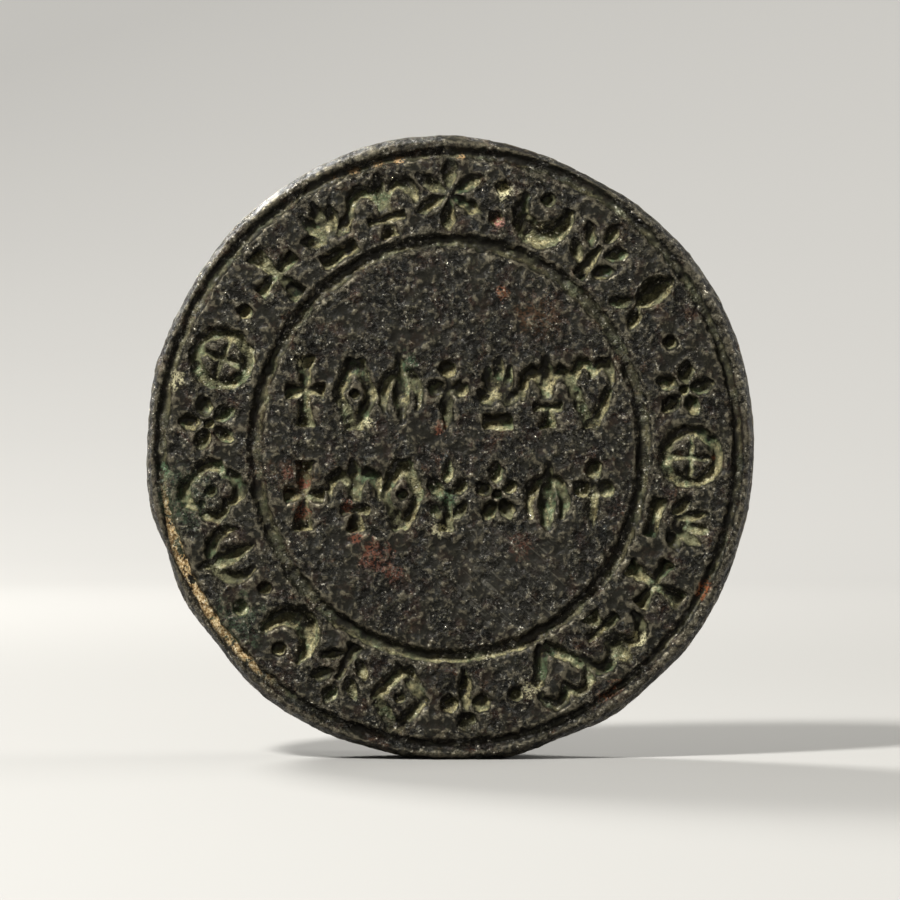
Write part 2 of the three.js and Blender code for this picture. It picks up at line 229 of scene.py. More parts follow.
# %% [markdown]
# ## The die plate
#
# The plate carries all the engraving, so it gets the finest skin. Its outline was filed round by
# eye and has been knocked since: a few flats and low swells, each at its angle round the rim.
# They are a displacement that holds only on the rim, by a vertex group. A voxel skin also shows
# fine steps where a wall turns slowly, and extra rounds of smoothing file them off the rim.

# %% Remeshing the plate and knocking its rim
die = casting("die_plate", "engraved_plate", 0.075 * MM, 4)

# Each place on the rim: its angle, its spread in degrees and its height in millimetres.
KNOCKS = [
    (65, 13, 0.24),
    (151, 9, 0.15),
    (176, 9, 0.12),
    (200, 5, 0.28),
    (219, 8, 0.22),
    (256, 11, 0.14),
    (291, 4, 0.1),
]
SWELLS = [(29, 12, 0.13), (102, 12, 0.1), (281, 4, 0.08), (303, 5, 0.1), (321, 9, 0.12)]
RIM_DEPTH = 1.4 * MM
RIM_START = 0.955
RIM_BLEND = 0.02

half_width = (plate_high.x - plate_low.x) / 2
half_height = plate_high.z


def oval_reach(points):
    """How far out each point lies, with 1 on the plate's outline."""
    return np.hypot(points[:, 0] / half_width, points[:, 2] / half_height)


def round_rim(piece, places):
    """How far the places round the rim move each point, in millimetres."""
    points = points_of(piece)
    angle = np.degrees(np.arctan2(points[:, 2], points[:, 0]))
    near_rim = np.clip(1 - (1 - oval_reach(points)) * half_height / RIM_DEPTH, 0, 1)
    amount = np.zeros(len(points))
    for degrees, spread, depth in places:
        away = (angle - degrees + 180) % 360 - 180
        amount += depth * np.exp(-((away / spread) ** 2))
    return amount * near_rim


for name, places, way in (("knocks", KNOCKS, -1), ("swells", SWELLS, 1)):
    amount = round_rim(die, places)
    group = group_of(die, name, amount / amount.max())
    finish_with(die, "DISPLACE", vertex_group=group, strength=way * amount.max() * MM, mid_level=0.0)
    print(name, "up to", round(amount.max(), 2), "mm")

# %% Filing the rim smooth
filed = np.clip((oval_reach(points_of(die)) - RIM_START) / RIM_BLEND, 0, 1)
filed_rim = group_of(die, "filed rim", filed)
finish_with(die, "SMOOTH", factor=0.5, iterations=18, vertex_group=filed_rim)

# %% Weathering the plate, more on the engraved side than on its smooth rim and back
points = points_of(die)
engraved_side = (points[:, 1] < 1.2 * MM) & (oval_reach(points) < 0.95)
rougher_face = group_of(die, "rougher face", np.where(engraved_side, 1.0, 0.3))
weather(die, swells, 0.11 * MM)
weather(die, dents, 0.24 * MM, rougher_face)
weather(die, pitting, 0.12 * MM, rougher_face)

# %% [markdown]
# ## Sparing triangles
#
# The finished skin has four times the triangles that its shape needs. Decimation thins the
# engraved side a little and the plain side a lot. It can leave a face that hangs on nothing,
# which is found by its open edges and deleted, so the skin stays closed.

# %% Thinning the plate
CUTS_END = 0.9 * MM


def thin_out(piece, keep_front, keep_rest, front):
    """Keeps a share of the triangles in front of a plane, and another share of the rest."""
    for share, behind in ((keep_rest, True), (keep_front, False)):
        pick(piece)
        y = points_of(piece)[:, 1]
        piece.data.vertices.foreach_set("select", (y > front) == behind)
        bpy.ops.object.mode_set(mode="EDIT")
        bpy.ops.mesh.select_mode(type="VERT")
        bpy.ops.mesh.decimate(ratio=share)
        bpy.ops.object.mode_set(mode="OBJECT")
    piece.data.validate()
    bpy.ops.object.mode_set(mode="EDIT")
    bpy.ops.mesh.select_all(action="DESELECT")
    bpy.ops.mesh.select_non_manifold()
    bpy.ops.mesh.delete(type="ONLY_FACE")
    bpy.ops.mesh.select_all(action="SELECT")
    bpy.ops.mesh.delete_loose()
    bpy.ops.object.mode_set(mode="OBJECT")
    print(piece.name, facets(piece), "triangles")


thin_out(die, 0.36, 0.09, CUTS_END)
write_exposure(die, "edge", 5, 0.03 * MM)
write_exposure(die, "hollow", 45, 0.13 * MM)

# %% [markdown]
# ## The hinge on the back
#
# The lugs, the rivet and the handle are smaller castings. Their bores stay as measured, so that
# the handle still turns on its rivet: the weathering holds only outside a circle about the
# hinge's axis.

# %% The hinge lugs, the rivet and the handle
BORE_REACH = 1.05 * MM


def hinge_piece(node, name, wear_rounds):
    """A small casting of the hinge, weathered everywhere but in its bore."""
    piece = casting(node, name, 0.07 * MM, wear_rounds)
    points = points_of(piece)
    away = np.hypot(points[:, 1] - hinge.y, points[:, 2] - hinge.z)
    outside = group_of(piece, "outside", (away > BORE_REACH).astype(float))
    weather(piece, swells, 0.09 * MM, outside)
    weather(piece, dents, 0.05 * MM, outside)
    weather(piece, pitting, 0.02 * MM, outside)
    write_exposure(piece, "edge", 5, 0.03 * MM)
    write_exposure(piece, "hollow", 30, 0.12 * MM)
    print(name, facets(piece), "triangles")
    return piece


lugs = [
    hinge_piece("hinge_lug_left", "left_lug", 4),
    hinge_piece("hinge_lug_right", "right_lug", 4),
]
rivet = hinge_piece("hinge_pin", "rivet", 3)
handle = hinge_piece("folding_handle", "trefoil_handle", 5)

# %% [markdown]
# ## Solder round the lugs
#
# The lugs stand in slots in the back, and soft solder holds them there. It ran out into a low
# mound round each foot. A flattened ball, set half into the back and a little to the outer side,
# is dented until its shore wanders like that of metal that once flowed. It keeps low on the
# inner side, where the knuckle turns.

# %% Solder mounds
MOUND_OUTWARD = 0.5 * MM
MOUND_REACH = 1.8 * MM
MOUND_ENDS = 1.2 * MM
MOUND_HEIGHT = 0.42 * MM


def solder_mound(lug_node, name):
    """A low mound of solder round the foot of one lug."""
    low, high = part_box(lug_node)
    side = math.copysign(1, low.x + high.x)
    foot = ((low.x + high.x) / 2 + side * MOUND_OUTWARD, back, hinge.z)
    bpy.ops.object.select_all(action="DESELECT")
    bpy.ops.mesh.primitive_uv_sphere_add(segments=48, ring_count=24, radius=1, location=foot)
    mound = bpy.context.object
    mound.name = name
    mound.scale = (MOUND_REACH, MOUND_HEIGHT, (high.z - low.z) / 2 + MOUND_ENDS)
    bpy.ops.object.transform_apply(location=True, rotation=False, scale=True)
    finish_with(mound, "REMESH", mode="VOXEL", voxel_size=0.06 * MM, use_smooth_shade=True)
    weather(mound, dents, 0.14 * MM)
    finish_with(mound, "SMOOTH", factor=0.5, iterations=3)
    write_exposure(mound, "edge", 5, 0.03 * MM)
    write_exposure(mound, "hollow", 30, 0.12 * MM)
    print(name, facets(mound), "triangles")
    return mound


mounds = [
    solder_mound("hinge_lug_left", "left_solder"),
    solder_mound("hinge_lug_right", "right_solder"),
]

# %% [markdown]
# ## Building materials from nodes
#
# A node tree is easier to read as a short list of steps, so small helpers make the nodes and
# join them. A value that is a socket is linked, and any other value is typed in.

# %% Node helpers
def add(tree, kind, inputs=None, **settings):
    """One node, with its settings and its inputs."""
    node = tree.nodes.new("ShaderNode" + kind)
    for name, value in settings.items():
        setattr(node, name, value)
    for key, value in (inputs or {}).items():
        join(tree, value, node.inputs[key])
    return node


def join(tree, value, socket):
    """Links a socket, or types a plain value in."""
    if isinstance(value, bpy.types.NodeSocket):
        tree.links.new(value, socket)
    else:
        socket.default_value = value


def grains(tree, place, size, detail=3.0, roughness=0.55):
    """Noise whose lumps are about this size."""
    inputs = {"Vector": place, "Scale": 1 / size, "Detail": detail, "Roughness": roughness}
    return add(tree, "TexNoise", inputs).outputs["Fac"]


def ramp(tree, value, low, high, to_low=0.0, to_high=1.0):
    """A soft step from low to high."""
    inputs = {"Value": value, 1: low, 2: high, 3: to_low, 4: to_high}
    node = add(tree, "MapRange", inputs, interpolation_type="SMOOTHSTEP")
    return node.outputs["Result"]


def times(tree, *values):
    """The product of two or more values."""
    product = values[0]
    for value in values[1:]:
        product = add(tree, "Math", {0: product, 1: value}, operation="MULTIPLY").outputs[0]
    return product


def most_of(tree, *values):
    """The largest of two or more values."""
    largest = values[0]
    for value in values[1:]:
        largest = add(tree, "Math", {0: largest, 1: value}, operation="MAXIMUM").outputs[0]
    return largest


def layer(tree, factor, under, over):
    """A colour laid over another by a factor."""
    node = add(tree, "Mix", data_type="RGBA")
    join(tree, factor, node.inputs[0])
    join(tree, under, node.inputs[6])
    join(tree, over, node.inputs[7])
    return node.outputs[2]


def colour(red, green, blue):
    """A colour as a viewer names it, in 0 to 255, turned into the light that it stands for."""
    def light(channel):
        share = channel / 255
        return share / 12.92 if share <= 0.04045 else ((share + 0.055) / 1.055) ** 2.4

    return (light(red), light(green), light(blue), 1.0)


# %% [markdown]
# ## Aged bronze
#
# Buried bronze turns into a thin crust of its own minerals: grains less than a tenth of a
# millimetre across, most of them nearly black, some grey, a few pale, each standing up a little
# and tilted its own way. A Voronoi texture gives just that, a dome and two random numbers for
# every grain. The crust isn't one colour. Olive patches lie beside brown ones and green or slate
# ones, so each finish has three palettes, and noise chooses between them. Nor is it rough all
# over: its grit says how far the grains differ and stand up. Where hands or soil rubbed the
# crust, the metal shows through again.

# %% The grains of the crust
GRAIN = 0.085 * MM
LUMP = 0.3 * MM
KNOB = 0.75 * MM
PATCH = 2.1 * MM


def tones(tree, value, palette):
    """A colour picked from a palette of four, from its darkest grains to its palest."""
    node = add(tree, "ValToRGB", {0: value})
    elements = node.color_ramp.elements
    elements[0].position, elements[0].color = 0.1, palette[0]
    elements[1].position, elements[1].color = 0.97, palette[3]
    elements.new(0.48).color = palette[1]
    elements.new(0.76).color = palette[2]
    return node.outputs["Color"]


def weigh(tree, value, weight, total=0.0):
    """Adds a value's distance from one half, times a weight, to a running total."""
    inputs = {0: value, 1: weight, 2: total}
    raised = add(tree, "Math", inputs, operation="MULTIPLY_ADD").outputs[0]
    return add(tree, "Math", {0: raised, 1: weight / 2}, operation="SUBTRACT").outputs[0]


def shade_of(s, grit):
    """Which grains are dark and which pale, from 0 to 1. Little grit keeps them all alike."""
    mottle = weigh(s.tree, s.pick, 0.34)
    mottle = weigh(s.tree, s.lumps, 1.15, mottle)
    mottle = weigh(s.tree, s.knobs, 1.5, mottle)
    inputs = {0: mottle, 1: grit, 2: 0.42}
    return add(s.tree, "Math", inputs, operation="MULTIPLY_ADD").outputs[0]


def crust_grains(tree, place, size):
    """Grains of this size: how far a point is from its grain's middle, and two random numbers."""
    node = add(tree, "TexVoronoi", {"Vector": place, "Scale": 1 / size, "Randomness": 1.0})
    random = add(tree, "SeparateColor", {0: node.outputs["Color"]}).outputs
    return node.outputs["Distance"], random[0], random[1]


def open_surface(name):
    """A new material, with the coordinates and attributes that its layers read."""
    material = bpy.data.materials.new(name)
    material.use_nodes = True
    tree = material.node_tree
    coordinates = add(tree, "TexCoord")
    place = coordinates.outputs["Object"]
    parts = add(tree, "SeparateXYZ", {0: place}).outputs
    s = SimpleNamespace(material=material, tree=tree, shader=tree.nodes["Principled BSDF"])
    s.place, s.facing = place, coordinates.outputs["Normal"]
    s.x, s.depth, s.z = parts["X"], parts["Y"], parts["Z"]
    s.cover = 0.0
    s.edge = add(tree, "Attribute", attribute_name="edge").outputs["Fac"]
    s.hollow = add(tree, "Attribute", attribute_name="hollow").outputs["Fac"]
    s.dome, s.pick, s.pick_too = crust_grains(tree, place, GRAIN)
    s.lumps = grains(tree, place, LUMP, 6, 0.72)
    s.knobs = grains(tree, place, KNOB, 4, 0.62)
    s.patches = grains(tree, place, PATCH, 5, 0.65)
    s.gloss = times(tree, ramp(tree, s.lumps, 0.48, 0.62), ramp(tree, s.patches, 0.41, 0.57))
    return s


def bronze_skin(s, olive, brown, third):
    """Patina whose grains run from nearly black to pale, in patches of three palettes. The low places
    between the grains and in the lumps get a painted shade of the darkest tone.
    """
    tree = s.tree
    shade = s.shade
    skin = tones(tree, shade, olive)
    rusty = ramp(tree, grains(tree, s.place, 1.3 * MM, 6, 0.72), 0.5, 0.6)
    skin = layer(tree, times(tree, rusty, s.grit), skin, tones(tree, shade, brown))
    mossy = ramp(tree, grains(tree, s.place, 0.9 * MM, 6, 0.75), 0.53, 0.64)
    skin = layer(tree, times(tree, mossy, s.grit), skin, tones(tree, shade, third))
    # Painted shade: the low rims between the domed grains take the darkest tone.
    painted_shade_between_grains = ramp(tree, s.dome, 0.42, 0.75)
    skin = layer(tree, times(tree, painted_shade_between_grains, s.grit, 0.6), skin, olive[0])
    # Painted shade: the low places of the bumped lumps take the darkest tone.
    painted_shade_in_pits = ramp(tree, s.lumps, 0.4, 0.3)
    return layer(tree, times(tree, painted_shade_in_pits, s.grit, 0.8), skin, olive[0])


def rubbed(s, skin, metal, share):
    """Metal that shows through on what stands out, broken up by the grain."""
    wear = times(s.tree, ramp(s.tree, s.edge, 0.58, 0.95), ramp(s.tree, s.lumps, 0.38, 0.6), share)
    return layer(s.tree, wear, skin, metal), wear


def flecked(s, skin, wear, metal, share):
    """Single grains of bare metal, which glint where they are tilted the right way."""
    fleck = times(s.tree, ramp(s.tree, s.pick_too, 1 - share, 1 - share / 2), s.gloss)
    return layer(s.tree, fleck, skin, metal), most_of(s.tree, wear, fleck)


def soil_and_shade_in_hollows(s, skin, soil, share):
    """Dark soil that stays in the hollows, together with painted shade there."""
    # Dark soil and painted shade, by how deep each point lies below the smooth skin.
    hollow_darkening = times(s.tree, ramp(s.tree, s.hollow, 0.47, 0.2), share)
    return layer(s.tree, hollow_darkening, skin, soil)


def bump(tree, height, distance, strength=1.0, under=None, hollow=False):
    """A bump of this height in metres, over another one if there is one."""
    inputs = {"Height": height, "Distance": distance, "Strength": strength}
    if under:
        inputs["Normal"] = under
    return add(tree, "Bump", inputs, invert=hollow).outputs[0]


def relief(s, fine, coarse, share=1.0):
    """Bumps for the grains and lumps, which are too small to model. Some patches are smoother."""
    rough = times(s.tree, ramp(s.tree, s.patches, 0.4, 0.6, 0.3, 1.0), s.grit)
    grain = bump(s.tree, s.dome, fine, rough, hollow=True)
    rough = times(s.tree, rough, share)
    lumps = bump(s.tree, s.lumps, coarse, rough, under=grain)
    return bump(s.tree, s.knobs, 2.4 * coarse, rough, under=lumps)


def close_surface(s, skin, wear, normal, roughness):
    """Joins the layers to the shader."""
    join(s.tree, skin, s.shader.inputs["Base Color"])
    join(s.tree, wear, s.shader.inputs["Metallic"])
    rough = ramp(s.tree, s.pick_too, 0.1, 0.5, roughness - 0.1, roughness + 0.1)
    under_soil = ramp(s.tree, s.cover, 0.0, 1.0, 0.0, 0.85 - roughness)
    rough = add(s.tree, "Math", {0: rough, 1: under_soil}, operation="ADD").outputs[0]
    shiny = times(s.tree, s.gloss, ramp(s.tree, s.cover, 0.0, 0.6, 1.0, 0.0))
    rough = ramp(s.tree, most_of(s.tree, wear, shiny), 0.0, 1.0, rough, 0.23)
    join(s.tree, rough, s.shader.inputs["Roughness"])
    join(s.tree, ramp(s.tree, shiny, 0.0, 1.0, 0.18, 1.0), s.shader.inputs["Specular IOR Level"])
    join(s.tree, normal, s.shader.inputs["Normal"])
    s.shader.inputs["Specular Tint"].default_value = colour(255, 250, 240)
    return s.material


def aged_bronze(name, olive, metal, roughness, share=0.8):
    """The finish of the plain pieces. Its brown and green palettes follow from the olive one."""
    s = open_surface(name)
    s.grit = 0.5
    s.shade = shade_of(s, s.grit)
    brown = [(r * 1.2, g * 0.86, b * 0.66, a) for r, g, b, a in olive]
    green = [(r * 0.76, g * 1.04, b * 0.86, a) for r, g, b, a in olive]
    skin = bronze_skin(s, olive, brown, green)
    # Dark soil and painted shade in the hollows.
    skin = soil_and_shade_in_hollows(s, skin, colour(20, 18, 14), 0.7)
    skin, wear = rubbed(s, skin, metal, share)
    return close_surface(s, skin, wear, relief(s, 0.03 * MM, 0.26 * MM), roughness)


# %% [markdown]
# ## What burial left on the face, and painted light and shade in the cuts
#
# The photograph shows pale soil in nearly every cut: grey green on the floors, cream on the lower
# walls and thickest at the feet. A line of tan earth lies in the border groove on the left, and red
# copper oxide and brown stain the field. The soil is a mask from three facts: how deep a point lies,
# which way its wall faces, and a patchy noise. The way a wall faces is measured towards the key lamp,
# so the pale soils, which keep to floors and to walls that face the lamp, are partly painted light,
# and the walls that face away from the lamp get a painted shade of near black. A stain is a disc torn
# by noise, put where the photograph has it, and it takes hold of some grains and not of others.

# %% Soil on the face, with painted light and shade in the cuts
# The ring round the field lies between its two reaches, and the border groove past its own.
RING_INNER = 9.2 * MM
RING_OUTER = 10.9 * MM
BORDER_INNER = 13.9 * MM
LINE_BLEND = 0.3 * MM


def on_engraving(s):
    """One on the engraved side inside the rim, and nothing on the rim and the back."""
    level = add(s.tree, "CombineXYZ", {"X": s.x, "Y": s.z}).outputs[0]
    reach = add(s.tree, "VectorMath", {0: level}, operation="LENGTH").outputs["Value"]
    front = ramp(s.tree, s.depth, 1.4 * MM, 1.2 * MM)
    return times(s.tree, front, ramp(s.tree, reach, 15.2 * MM, 14.9 * MM)), reach


def torn_by(s, size, threshold, softness=0.06):
    """Ragged patches of about this size, fewer as the threshold rises."""
    patches = grains(s.tree, s.place, size, 5, 0.7)
    return ramp(s.tree, patches, threshold - softness, threshold + softness)


GREY_SOIL = [colour(60, 59, 44), colour(118, 116, 86), colour(160, 157, 124), colour(212, 209, 178)]
GREEN_SOIL = [colour(36, 46, 32), colour(82, 98, 70), colour(122, 140, 106), colour(184, 196, 156)]
CREAM_SOIL = [colour(104, 94, 62), colour(172, 162, 120), colour(212, 204, 162), colour(232, 226, 194)]


def soil_and_painted_light_in_cuts(s, skin, engraving, reach):
    """Grey green soil on the floors of the cuts, cream on their lower walls. Little in the lines. The
    soils keep to floors and walls that face the key lamp, so they are partly painted light, and walls
    facing away from the lamp get a painted shade of near black.
    """
    tree = s.tree
    past_inner = ramp(tree, reach, RING_INNER, RING_INNER + LINE_BLEND)
    within_outer = ramp(tree, reach, RING_OUTER, RING_OUTER - LINE_BLEND)
    in_ring = times(tree, past_inner, within_outer)
    in_border = ramp(tree, reach, BORDER_INNER, BORDER_INNER + LINE_BLEND)
    outside_lines = ramp(tree, most_of(tree, in_ring, in_border), 0.0, 1.0, 1.0, 0.25)
    low = times(tree, ramp(tree, s.depth, 0.1 * MM, 0.3 * MM), engraving, outside_lines)
    # How far each point faces the key lamp, which stands low over the upper left.
    facing_lamp = add(tree, "VectorMath", {0: s.facing, 1: (-0.6, 0.0, 0.8)}, operation="DOT_PRODUCT")
    # Partly real soil, partly painted light: the pale soils keep to floors and to walls that face the
    # key lamp, and the cream lies only on walls that face it.
    floor_and_lamp_side = ramp(tree, facing_lamp.outputs["Value"], -0.55, -0.05)
    lamp_side_wall = ramp(tree, facing_lamp.outputs["Value"], -0.1, 0.4)
    taken = ramp(tree, s.pick_too, 0.0, 0.75, 0.25, 1.0)
    film = times(tree, low, floor_and_lamp_side, torn_by(s, 2.0 * MM, 0.46, 0.1))
    skin = layer(tree, times(tree, film, 0.8), skin, tones(tree, s.shade, GREY_SOIL))
    green = times(tree, low, floor_and_lamp_side, taken, torn_by(s, 1.5 * MM, 0.56))
    skin = layer(tree, times(tree, green, 0.85), skin, tones(tree, s.shade, GREEN_SOIL))
    cream = times(tree, low, lamp_side_wall, taken, torn_by(s, 1.1 * MM, 0.51))
    s.cover = most_of(tree, film, green, cream)
    skin = layer(tree, times(tree, cream, 0.9), skin, tones(tree, s.shade, CREAM_SOIL))
    # Painted shade: walls of the cuts that face away from the key lamp get a near black tone.
    shaded = ramp(tree, facing_lamp.outputs["Value"], 0.0, -0.3)
    painted_shade_away_from_lamp = times(tree, ramp(tree, s.depth, 0.03 * MM, 0.15 * MM), engraving, shaded)
    return layer(tree, times(tree, painted_shade_away_from_lamp, 0.7), skin, colour(9, 8, 6))


# %% Stains on the face
def about(s, px, py):
    """How far each point of the face lies from a pixel of the photograph."""
    flat = add(s.tree, "VectorMath", {0: s.place, 1: (1, 0, 1)}, operation="MULTIPLY").outputs[0]
    inputs = {0: flat, 1: on_face(px, py)}
    return add(s.tree, "VectorMath", inputs, operation="DISTANCE").outputs["Value"]


def stain(s, skin, engraving, px, py, spread_px, tint, share):
    """A ragged stain about a pixel of the photograph, over the grains that take it."""
    tree = s.tree
    spread = spread_px * pixel
    inputs = {0: s.torn, 1: -2.8 * spread, 2: 1.4 * spread}
    wander = add(tree, "Math", inputs, operation="MULTIPLY_ADD").outputs[0]
    edge = add(tree, "Math", {0: about(s, px, py), 1: wander}, operation="ADD").outputs[0]
    near = ramp(tree, edge, spread * 0.85, spread * 0.35)
    return layer(tree, times(tree, near, s.taken, engraving, share), skin, tint)


CUPRITE = colour(116, 70, 52)
BROWN = colour(70, 50, 33)
RUST = colour(140, 80, 44)
CREAM = colour(212, 204, 162)
VERDIGRIS = colour(84, 106, 78)
ROSE = colour(164, 112, 100)
TAN = colour(186, 150, 104)
EARTH = [colour(84, 62, 38), colour(168, 138, 92), colour(206, 182, 136), colour(236, 222, 188)]

# Each stain: its pixel across and down, its spread in pixels, its colour and its share.
STAINS = [
    (541, 318, 36, BROWN, 0.8),
    (503, 294, 10, RUST, 0.6),
    (293, 477, 34, BROWN, 0.6),
    (398, 157, 8, TAN, 0.8),
    (377, 161, 10, TAN, 0.6),
    (354, 168, 9, TAN, 0.7),
    (333, 176, 7, TAN, 0.6),
    (461, 155, 6, TAN, 0.8),
    (620, 705, 26, RUST, 0.8),
    (706, 590, 14, RUST, 0.8),
    (679, 453, 6, BROWN, 0.7),
    (715, 457, 4, RUST, 0.5),
    (288, 474, 9, CUPRITE, 0.9),
    (303, 485, 8, CUPRITE, 0.9),
    (301, 511, 12, CUPRITE, 0.7),
    (348, 504, 10, CUPRITE, 0.9),
    (357, 538, 9, CUPRITE, 0.8),
    (376, 556, 22, CUPRITE, 0.7),
    (392, 573, 15, CUPRITE, 0.7),
    (440, 427, 11, CUPRITE, 1.0),
    (520, 545, 18, CUPRITE, 0.7),
    (498, 222, 9, ROSE, 1.0),
    (182, 500, 44, VERDIGRIS, 0.25),
    (240, 620, 36, VERDIGRIS, 0.25),
    (446, 499, 16, VERDIGRIS, 0.7),
    (409, 362, 12, VERDIGRIS, 0.7),
    (165, 470, 9, VERDIGRIS, 1.0),
    (176, 380, 12, CREAM, 0.8),
    (504, 193, 10, CREAM, 1.0),
    (300, 360, 8, CREAM, 0.8),
    (369, 424, 8, CREAM, 0.8),
    (440, 530, 10, CREAM, 0.8),
    (530, 690, 13, CREAM, 0.7),
    (640, 640, 11, CREAM, 0.7),
]


def earth_line(s, skin, reach, engraving):
    """The line of tan earth in the border groove, on the left."""
    tree = s.tree
    low = ramp(tree, s.depth, 0.22 * MM, 0.28 * MM)
    crumbs = ramp(tree, grains(tree, s.place, 0.14 * MM, 5, 0.75), 0.32, 0.66)
    in_border = ramp(tree, reach, 14.1 * MM, 14.4 * MM)
    left = ramp(tree, s.x, -8.5 * MM, -10.5 * MM)
    lower = ramp(tree, s.z, -1.0 * MM, -4.0 * MM)
    torn = torn_by(s, 0.5 * MM, 0.46, 0.03)
    line = times(tree, low, in_border, left, lower, torn, engraving)
    s.cover = most_of(tree, s.cover, line)
    return layer(tree, line, skin, tones(tree, crumbs, EARTH))


# %% Scratches
SCRATCHED = (512, 585)
SCRATCHED_REACH = 72
SCRATCH_SLANT = math.radians(-42)
SCRATCH_GAP = 0.16 * MM
SCRATCH_STRETCH = 0.04


def scratches(s):
    """Fine slanting scratches where the lower field was once rubbed, and the rubbed patch."""
    tree = s.tree
    turned = add(tree, "Mapping", {"Vector": s.place, "Rotation": (0, SCRATCH_SLANT, 0)}).outputs[0]
    inputs = {0: turned, 1: (SCRATCH_STRETCH, 1.0, 1.0)}
    drawn_out = add(tree, "VectorMath", inputs, operation="MULTIPLY").outputs[0]
    lines = ramp(tree, grains(tree, drawn_out, SCRATCH_GAP, 1, 0.5), 0.58, 0.68)
    reach = SCRATCHED_REACH * pixel
    inputs = {0: s.torn, 1: -1.6 * reach, 2: 0.8 * reach}
    wander = add(tree, "Math", inputs, operation="MULTIPLY_ADD").outputs[0]
    away = add(tree, "Math", {0: about(s, *SCRATCHED), 1: wander}, operation="ADD").outputs[0]
    patch = times(tree, ramp(tree, away, reach, reach * 0.5), ramp(tree, s.depth, 0.2 * MM, 0.1 * MM))
    return times(tree, lines, patch), patch


# %% The plate's finish
PLATE_OLIVE = [colour(7, 7, 4), colour(30, 29, 23), colour(78, 75, 57), colour(186, 181, 151)]
PLATE_BROWN = [colour(12, 7, 5), colour(48, 33, 25), colour(98, 69, 50), colour(190, 152, 118)]
PLATE_SLATE = [colour(6, 7, 8), colour(24, 28, 29), colour(55, 62, 62), colour(138, 149, 148)]


def buried_face(name):
    """The plate's finish: aged bronze, with soil in its cuts and stains on its field."""
    s = open_surface(name)
    tree = s.tree
    frontward = ramp(tree, s.depth, 0.5 * MM, 1.5 * MM, 1.0, 0.35)
    s.grit = times(tree, frontward, ramp(tree, s.patches, 0.42, 0.56, 0.4, 1.0))
    s.shade = shade_of(s, s.grit)
    s.gloss = times(tree, s.gloss, ramp(tree, frontward, 0.35, 1.0, 0.2, 1.0))
    s.torn = grains(tree, s.place, 0.6 * MM, 4, 0.7)
    s.taken = ramp(tree, s.pick_too, 0.25, 0.5)
    engraving, reach = on_engraving(s)
    skin = bronze_skin(s, PLATE_OLIVE, PLATE_BROWN, PLATE_SLATE)
    # Dark soil and painted shade in the hollows of the plate.
    skin = soil_and_shade_in_hollows(s, skin, colour(15, 14, 11), 0.35)
    skin = soil_and_painted_light_in_cuts(s, skin, engraving, reach)
    skin = earth_line(s, skin, reach, engraving)
    for px, py, spread, tint, share in STAINS:
        skin = stain(s, skin, engraving, px, py, spread, tint, share)
    lines, patch = scratches(s)
    skin = layer(tree, times(tree, patch, 0.6), skin, colour(38, 37, 32))
    skin = layer(tree, times(tree, lines, 0.5), skin, colour(92, 89, 78))
    share = ramp(tree, frontward, 0.35, 1.0, 0.2, 0.5)
    skin, wear = rubbed(s, skin, colour(140, 132, 110), share)
    skin, wear = flecked(s, skin, wear, colour(222, 215, 194), 0.075)
    in_cuts = times(tree, ramp(tree, s.depth, 0.05 * MM, 0.2 * MM), engraving)
    calmer = ramp(tree, in_cuts, 0.0, 1.0, 1.0, 0.35)
    crust = relief(s, 0.05 * MM, 0.42 * MM, calmer)
    normal = bump(tree, lines, 0.02 * MM, under=crust, hollow=True)
    return close_surface(s, skin, wear, normal, 0.4)


# %% A finish for each kind of piece
plate_finish = buried_face("patinated plate")
lug_finish = aged_bronze(
    "patinated lug",
    [colour(24, 22, 17), colour(54, 50, 40), colour(88, 83, 68), colour(140, 132, 108)],
    colour(146, 132, 100),
    0.52,
)
handle_finish = aged_bronze(
    "handled bronze",
    [colour(32, 28, 21), colour(66, 59, 44), colour(100, 91, 69), colour(150, 138, 106)],
    colour(168, 148, 104),
    0.46,
)
rivet_finish = aged_bronze(
    "hammered rivet",
    [colour(38, 34, 26), colour(76, 69, 51), colour(112, 103, 79), colour(162, 148, 112)],
    colour(176, 156, 112),
    0.44,
)
solder_finish = aged_bronze(
    "grey solder",
    [colour(22, 21, 18), colour(44, 42, 37), colour(68, 66, 59), colour(100, 98, 90)],
    colour(112, 109, 100),
    0.54,
)

# %% Giving each piece its finish and its body
def dress(piece, finish, node, body):
    """A piece gets its finish, stands for its CAD node, and moves with its body."""
    piece.data.materials.clear()
    piece.data.materials.append(finish)
    if node:
        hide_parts(node)
    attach(piece, body)


dress(die, plate_finish, "die_plate", "die")
dress(lugs[0], lug_finish, "hinge_lug_left", "die")
dress(lugs[1], lug_finish, "hinge_lug_right", "die")
dress(rivet, rivet_finish, "hinge_pin", "die")
dress(handle, handle_finish, "folding_handle", "handle")
for mound in mounds:
    dress(mound, solder_finish, None, "die")

# %% [markdown]
# ## A bowl of pale paper
#
# The die stands on its rim. A floor that curves up all round into a wall gives a plain pale
# ground from every side, with no horizon behind the object. It starts as a disc, and its outer
# edge is extruded up and out along a quarter circle. Far from the object the lamps no longer
# reach the paper, so there it shows a pale tone of its own to the camera and to reflections.
# That tone gives no light to anything, and the paper throws little of the lamps' light back, so
# no haze lies on the dark metal.

# %% The floor and the backdrop
FLOOR_RADIUS = 260 * MM
CURVE_RADIUS = 160 * MM
WALL_HEIGHT = 260 * MM


